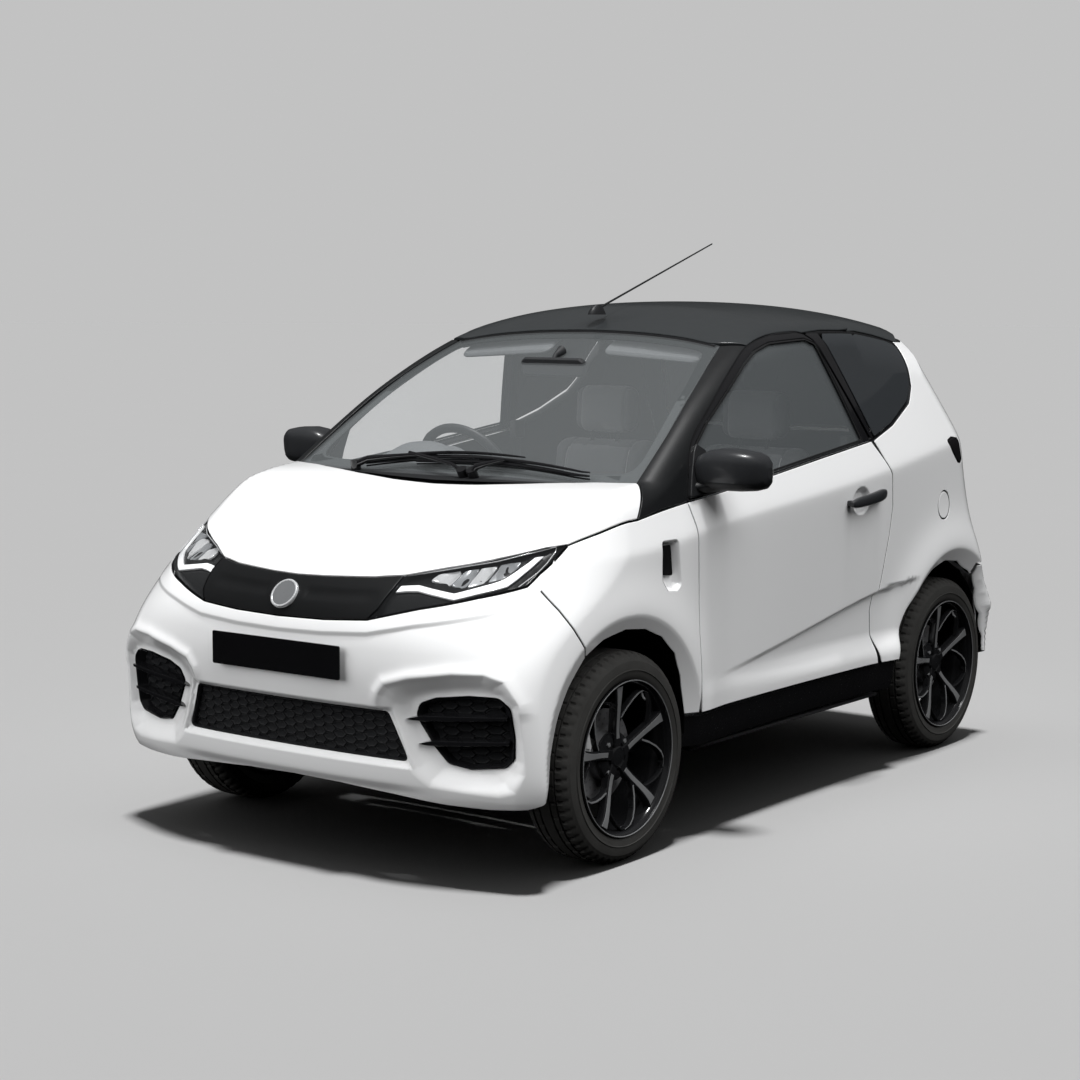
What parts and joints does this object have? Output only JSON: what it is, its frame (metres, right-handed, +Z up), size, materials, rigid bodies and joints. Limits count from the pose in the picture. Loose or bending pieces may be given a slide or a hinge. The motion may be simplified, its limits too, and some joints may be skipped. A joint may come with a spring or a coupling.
{
  "type": "two-seat microcar",
  "caption": "Small enclosed two-seat city car with opening doors, bonnet and tailgate, steered front wheels and a hollow cabin.",
  "frame": {"origin": "on the ground under the middle of the car's bounding box", "axes": "+X to the car's left, +Y to its back, +Z up"},
  "size_m": [1.744, 2.788, 1.6519],
  "materials": {
    "body_paint": "gloss",
    "black_paint": "gloss",
    "black_plastic": "satin",
    "grey_plastic": "satin",
    "gloss_black": "gloss",
    "window_glass": "clear",
    "dark_glass": "clear",
    "lamp_lens": "clear",
    "tail_lens": "clear",
    "tyre": "matte",
    "wheel_alloy": "gloss",
    "chassis_steel": "satin",
    "iron": "rough",
    "seat_fabric": "matte"
  },
  "bodies": {
    "body": {"floor_pan": "chassis_steel", "sills": "black_plastic", "wheelhouse_liners": "black_plastic", "engine_block": "iron", "front_subframe": "chassis_steel", "rear_axle": "chassis_steel", "front_bumper": "body_paint", "front_panel": "gloss_black", "lower_grille": "black_plastic", "headlamps": "lamp_lens", "number_plate_front": "gloss_black", "fenders": "body_paint", "scuttle": "black_plastic", "wipers": "black_plastic", "windscreen": "window_glass", "roof_frame": "black_paint", "roof_panel": "black_paint", "antenna": "black_plastic", "quarter_panel_left": "body_paint", "quarter_panel_right": "body_paint", "quarter_glass": "dark_glass", "tail_lamps": "tail_lens", "rear_bumper": "body_paint", "dashboard": "grey_plastic", "seats": "seat_fabric"},
    "door_left": {"door_left": "body_paint", "door_left_glass": "window_glass", "mirror_left": "gloss_black", "door_handle_left": "gloss_black"},
    "door_right": {"door_right": "body_paint", "door_right_glass": "window_glass", "mirror_right": "gloss_black", "door_handle_right": "gloss_black"},
    "bonnet": {"bonnet": "body_paint"},
    "tailgate": {"tailgate": "body_paint", "rear_window": "dark_glass"},
    "steering_wheel": {"steering_wheel": "black_plastic"},
    "knuckle_front_left": {"knuckle_front_left": "iron"},
    "knuckle_front_right": {"knuckle_front_right": "iron"},
    "wheel_front_left": {"tyre_front_left": "tyre", "rim_front_left": "wheel_alloy"},
    "wheel_front_right": {"tyre_front_right": "tyre", "rim_front_right": "wheel_alloy"},
    "wheel_rear_left": {"tyre_rear_left": "tyre", "rim_rear_left": "wheel_alloy"},
    "wheel_rear_right": {"tyre_rear_right": "tyre", "rim_rear_right": "wheel_alloy"}
  },
  "joints": [
    {"name": "steer_left", "type": "hinge", "parent": "body", "child": "knuckle_front_left", "pos_m": [0.56, -0.802, 0.281], "axis": [0, 0, 1], "range_deg": [-28, 28]},
    {"name": "steer_right", "type": "hinge", "parent": "body", "child": "knuckle_front_right", "pos_m": [-0.56, -0.802, 0.281], "axis": [0, 0, 1], "range_deg": [-28, 28]},
    {"name": "steering_wheel_turn", "type": "hinge", "parent": "body", "child": "steering_wheel", "pos_m": [-0.285, -0.235, 0.905], "axis": [0, 0.9062, 0.4229], "range_deg": [-448, 448]},
    {"name": "spin_front_left", "type": "hinge", "parent": "knuckle_front_left", "child": "wheel_front_left", "pos_m": [0.626, -0.802, 0.281], "axis": [1, 0, 0], "continuous": true},
    {"name": "spin_front_right", "type": "hinge", "parent": "knuckle_front_right", "child": "wheel_front_right", "pos_m": [-0.626, -0.802, 0.281], "axis": [1, 0, 0], "continuous": true},
    {"name": "spin_rear_left", "type": "hinge", "parent": "body", "child": "wheel_rear_left", "pos_m": [0.598, 1.081, 0.281], "axis": [1, 0, 0], "continuous": true},
    {"name": "spin_rear_right", "type": "hinge", "parent": "body", "child": "wheel_rear_right", "pos_m": [-0.598, 1.081, 0.281], "axis": [1, 0, 0], "continuous": true},
    {"name": "door_left_hinge", "type": "hinge", "parent": "body", "child": "door_left", "pos_m": [0.712, -0.477, 0.57], "axis": [0, 0.0659, -0.9978], "range_deg": [0, 65]},
    {"name": "door_right_hinge", "type": "hinge", "parent": "body", "child": "door_right", "pos_m": [-0.712, -0.477, 0.57], "axis": [0, -0.0659, 0.9978], "range_deg": [0, 65]},
    {"name": "bonnet_hinge", "type": "hinge", "parent": "body", "child": "bonnet", "pos_m": [0, -0.73, 0.93], "axis": [-1, 0, 0], "range_deg": [0, 55]},
    {"name": "tailgate_hinge", "type": "hinge", "parent": "body", "child": "tailgate", "pos_m": [0, 1.024, 1.36], "axis": [1, 0, 0], "range_deg": [0, 78]}
  ],
  "couplings": [
    {"joint": "steer_right", "follows": "steer_left", "ratio": 1},
    {"joint": "steering_wheel_turn", "follows": "steer_left", "ratio": 16}
  ]
}
